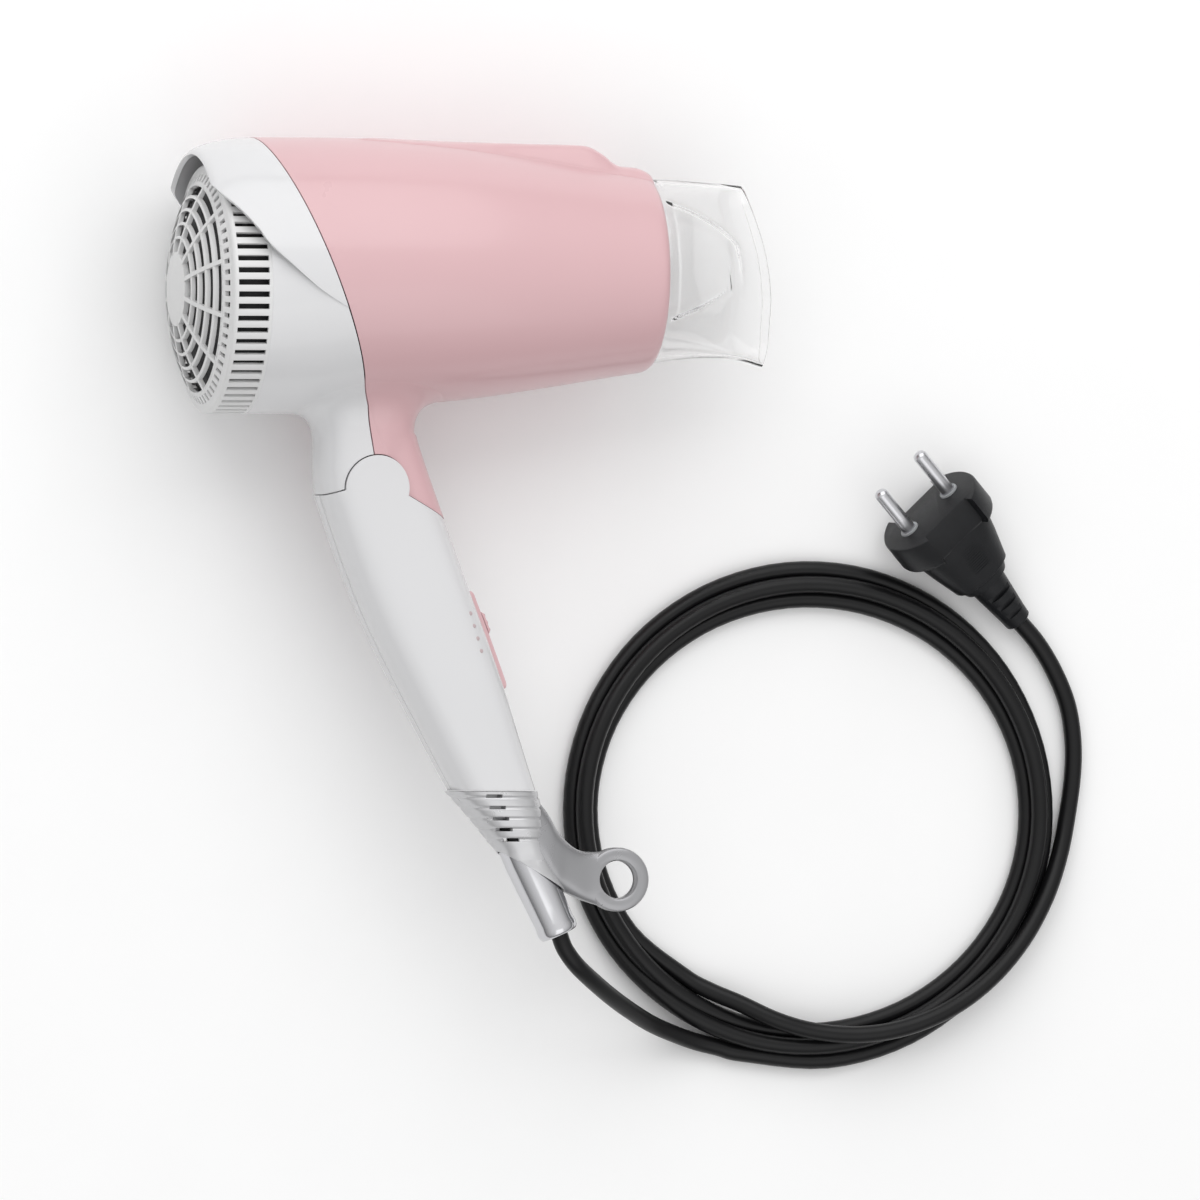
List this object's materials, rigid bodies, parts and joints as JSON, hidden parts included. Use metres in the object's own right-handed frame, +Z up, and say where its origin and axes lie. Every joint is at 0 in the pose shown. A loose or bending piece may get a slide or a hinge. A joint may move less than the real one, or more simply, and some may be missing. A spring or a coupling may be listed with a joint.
{
  "type": "hair dryer",
  "caption": "Folding hair dryer with a slotted rear grille, tapered barrel, clear flat-mouth nozzle, slide switch, hang loop and a coiled mains lead with a two-pin plug.",
  "frame": {"origin": "on the surface the dryer lies on, below the middle of the dryer's own box, mains lead left out", "axes": "+X along the barrel towards the nozzle, +Y from the handle to the barrel, +Z up, square to the dryer's mid-plane"},
  "size_m": [0.3317, 0.3184, 0.0928],
  "materials": {
    "white_shell": "glossy white moulded plastic",
    "pink_shell": "satin pearl pink moulded plastic",
    "filter_mesh": "grey woven nylon mesh",
    "dark_plastic": "matt dark heat-resistant plastic",
    "steel": "plated steel",
    "ivory_plastic": "ivory nylon",
    "brass": "plain brass",
    "mica": "layered mica sheet",
    "heating_wire": "oxidised resistance wire",
    "red_wire": "insulated wire",
    "blue_wire": "insulated wire",
    "grey_plastic": "grey moulded plastic",
    "clear_plastic": "clear smoky plastic",
    "circuit_board": "green board",
    "silver_plastic": "silver-painted plastic",
    "polished_metal": "polished plated metal",
    "black_rubber": "black flexible cord jacket",
    "black_plastic": "fine-grained black moulding"
  },
  "bodies": {
    "handle": {"handle_shell_left": "white_shell", "handle_shell_right": "white_shell", "hinge_washers": "brass", "switch_plate": "pink_shell", "switch_body": "dark_plastic", "rectifier_board": "circuit_board", "position_marks": "silver_plastic", "hang_loop": "silver_plastic", "cord_sleeve": "polished_metal", "cord_grommet": "black_rubber", "cord_clamp": "dark_plastic", "handle_screws": "steel", "handle_wires": "blue_wire", "cord_lead": "black_rubber", "cord_coil": "black_rubber", "cord_tail": "black_rubber", "plug_body": "black_plastic", "plug_pins": "polished_metal", "pin_collars": "grey_plastic"},
    "head": {"rear_shell": "white_shell", "barrel_shell": "pink_shell", "rear_grille": "white_shell", "lint_filter": "filter_mesh", "fan_duct": "dark_plastic", "motor_can": "steel", "motor_end_cap": "ivory_plastic", "brush_holders": "brass", "mica_tube": "mica", "heater_boards": "mica", "heating_coils": "heating_wire", "thermostat": "steel", "thermal_fuse": "brass", "outlet_grille": "dark_plastic", "head_wires": "red_wire", "head_screws": "steel", "hinge_bushes": "steel"},
    "fan": {"fan_rotor": "grey_plastic", "motor_shaft": "steel"},
    "nozzle_ring": {"nozzle_ring": "ivory_plastic"},
    "nozzle": {"nozzle": "clear_plastic"},
    "switch": {"slide_button": "pink_shell", "switch_actuator": "dark_plastic"}
  },
  "joints": [
    {"name": "fold", "type": "hinge", "parent": "handle", "child": "head", "pos_m": [-0.037, 0.018, 0.0464], "axis": [0, 0, -1], "range_deg": [0, 65]},
    {"name": "fan_spin", "type": "hinge", "parent": "head", "child": "fan", "pos_m": [-0.06, 0.091, 0.0464], "axis": [1, 0, 0], "continuous": true},
    {"name": "nozzle_pull", "type": "slide", "parent": "head", "child": "nozzle_ring", "axis": [1, 0, 0], "range_m": [0, 0.03]},
    {"name": "nozzle_turn", "type": "hinge", "parent": "nozzle_ring", "child": "nozzle", "pos_m": [0.07, 0.091, 0.0464], "axis": [1, 0, 0], "continuous": true},
    {"name": "switch_slide", "type": "slide", "parent": "handle", "child": "switch", "axis": [0.3746, -0.9272, 0], "range_m": [0, 0.0135]}
  ]
}
